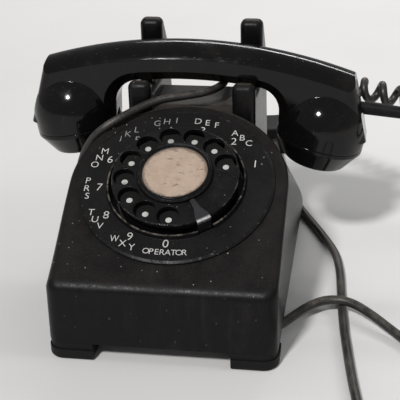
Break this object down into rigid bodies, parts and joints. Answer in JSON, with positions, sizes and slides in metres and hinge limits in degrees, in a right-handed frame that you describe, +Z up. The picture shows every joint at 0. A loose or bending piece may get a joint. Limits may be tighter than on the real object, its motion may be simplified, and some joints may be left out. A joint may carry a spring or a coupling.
{
  "type": "desk telephone",
  "caption": "Desk telephone with a sloping rotary dial, an eared cradle, a lift-off handset on a curly cord and a line cord with a plug.",
  "frame": {"origin": "on the surface the telephone stands on, midway along its width and depth", "axes": "+X to the right as the dial is read, +Y to the back, +Z up"},
  "size_m": [0.3204, 0.41, 0.1488],
  "materials": {
    "housing_black": "satin moulded, dusty",
    "handset_black": "polished moulded",
    "wheel_black": "glossy",
    "ring_black": "satin with white figures",
    "dot_black": "dull with white dots",
    "card_paper": "aged card",
    "cover_clear": "clear",
    "bright_steel": "dull steel",
    "plate_steel": "painted",
    "works_brass": "dull brass",
    "spring_silver": "nickel silver",
    "coil_cloth": "wound and taped",
    "block_brown": "moulded",
    "unit_metal": "satin",
    "foot_rubber": "matt",
    "cord_black": "dull",
    "tie_black": "matt",
    "plug_black": "moulded"
  },
  "bodies": {
    "base": {"base_plate": "plate_steel", "base_screws": "bright_steel", "coil_tie": "tie_black", "contact_springs": "spring_silver", "dial_frame": "plate_steel", "dial_posts": "plate_steel", "dial_screws": "bright_steel", "dot_plate": "dot_black", "finger_stop": "bright_steel", "front_feet": "foot_rubber", "gong_large": "works_brass", "gong_posts": "bright_steel", "gong_small": "works_brass", "governor_bracket": "plate_steel", "handset_cord_curl": "cord_black", "handset_cord_grommet": "foot_rubber", "handset_cord_lead": "cord_black", "hook_brackets": "plate_steel", "hook_shaft": "bright_steel", "housing": "housing_black", "line_cord": "cord_black", "line_cord_coil": "cord_black", "line_cord_gland": "foot_rubber", "line_plug": "plug_black", "network_block": "block_brown", "number_ring": "ring_black", "plug_pins": "works_brass", "rear_feet": "foot_rubber", "ringer_coils": "coil_cloth", "ringer_frame": "plate_steel", "switch_springs": "spring_silver", "terminal_screws": "works_brass"},
    "dial_wheel": {"finger_wheel": "wheel_black", "dial_card": "card_paper", "card_cover": "cover_clear", "card_ring": "wheel_black", "dial_shaft": "bright_steel", "dial_gear": "works_brass", "pulse_cam": "works_brass"},
    "governor_body": {"governor": "works_brass"},
    "handset": {"handset_handle": "handset_black", "receiver_cap": "handset_black", "transmitter_cap": "handset_black", "receiver_unit": "unit_metal", "transmitter_unit": "unit_metal", "contact_ring": "works_brass", "handset_cord_boot": "foot_rubber", "handset_cord_stub": "cord_black"},
    "plunger_pair": {"plungers": "wheel_black"},
    "lever": {"hook_lever": "plate_steel"},
    "clapper_body": {"clapper": "works_brass"},
    "loudness_wheel": {"volume_wheel": "plug_black"}
  },
  "joints": [
    {"name": "dial_spin", "type": "hinge", "parent": "base", "child": "dial_wheel", "pos_m": [0, -0.039, 0.0815], "axis": [0, -0.4384, 0.8988], "range_deg": [-312, 0], "stiffness_Nm_per_rad": 0.01, "springref_deg": 17.19},
    {"name": "governor_spin", "type": "hinge", "parent": "base", "child": "governor_body", "pos_m": [-0.01949, -0.02889, 0.08643], "axis": [0, -0.4384, 0.8988], "range_deg": [-10, 1275]},
    {"name": "handset_lift", "type": "slide", "parent": "base", "child": "handset", "axis": [0, 0, 1], "range_m": [0, 0.12], "deforming": ["handset_cord_curl"]},
    {"name": "plunger_rise", "type": "slide", "parent": "base", "child": "plunger_pair", "axis": [0, 0, 1], "range_m": [0, 0.006]},
    {"name": "lever_swing", "type": "hinge", "parent": "base", "child": "lever", "pos_m": [0, 0.026, 0.0637], "axis": [1, 0, 0], "range_deg": [0, 14.2]},
    {"name": "clapper_swing", "type": "hinge", "parent": "base", "child": "clapper_body", "pos_m": [0, -0.05233, 0.0242], "axis": [0, 0, 1], "range_deg": [-8, 8]},
    {"name": "loudness_turn", "type": "hinge", "parent": "base", "child": "loudness_wheel", "pos_m": [0.0324, 0.045, 0.009], "axis": [0, 0, 1], "range_deg": [-45, 45]}
  ],
  "couplings": [
    {"joint": "governor_spin", "follows": "dial_spin", "ratio": -4},
    {"joint": "plunger_rise", "follows": "handset_lift", "ratio": 0.05},
    {"joint": "lever_swing", "follows": "handset_lift", "rad_per_m": 2.0362}
  ]
}
